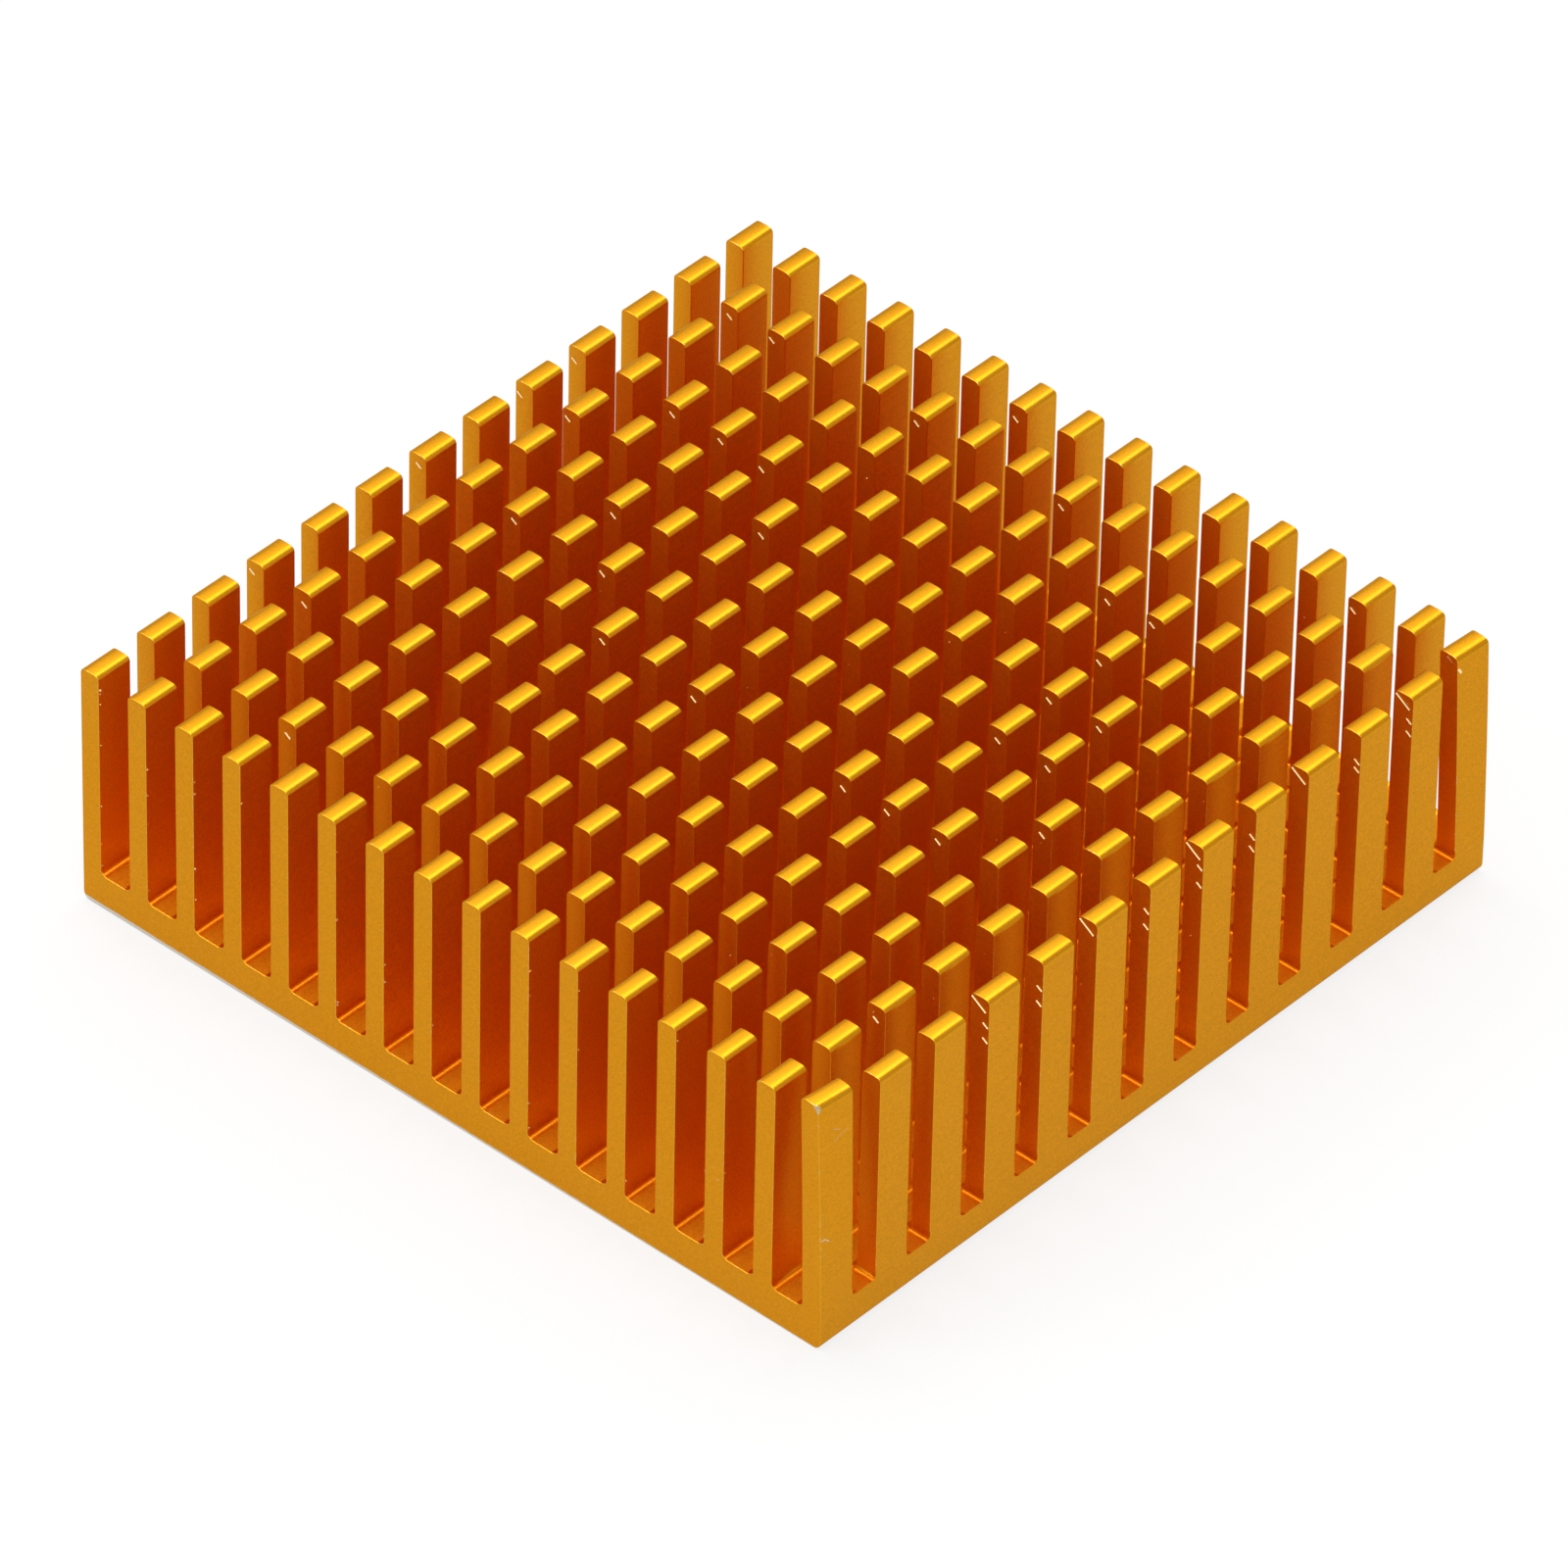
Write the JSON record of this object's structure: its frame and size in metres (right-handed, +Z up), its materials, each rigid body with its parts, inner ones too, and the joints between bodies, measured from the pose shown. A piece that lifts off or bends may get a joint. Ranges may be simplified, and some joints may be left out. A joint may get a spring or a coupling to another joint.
{
  "type": "pin-fin heat sink",
  "caption": "Square aluminium heat sink with upright rectangular pins on a thin flat base, extruded and then sawn across.",
  "frame": {"origin": "middle of the flat underside of the base", "axes": "+Z up the pins; +Y along the extruded fins, so the sawn ends of the bar face -Y and +Y; +X across the fins"},
  "size_m": [0.05, 0.05, 0.015],
  "materials": {
    "gold_anodised": "satin, gold anodised"
  },
  "bodies": {
    "root": {"heat_sink": "gold_anodised"}
  },
  "joints": []
}
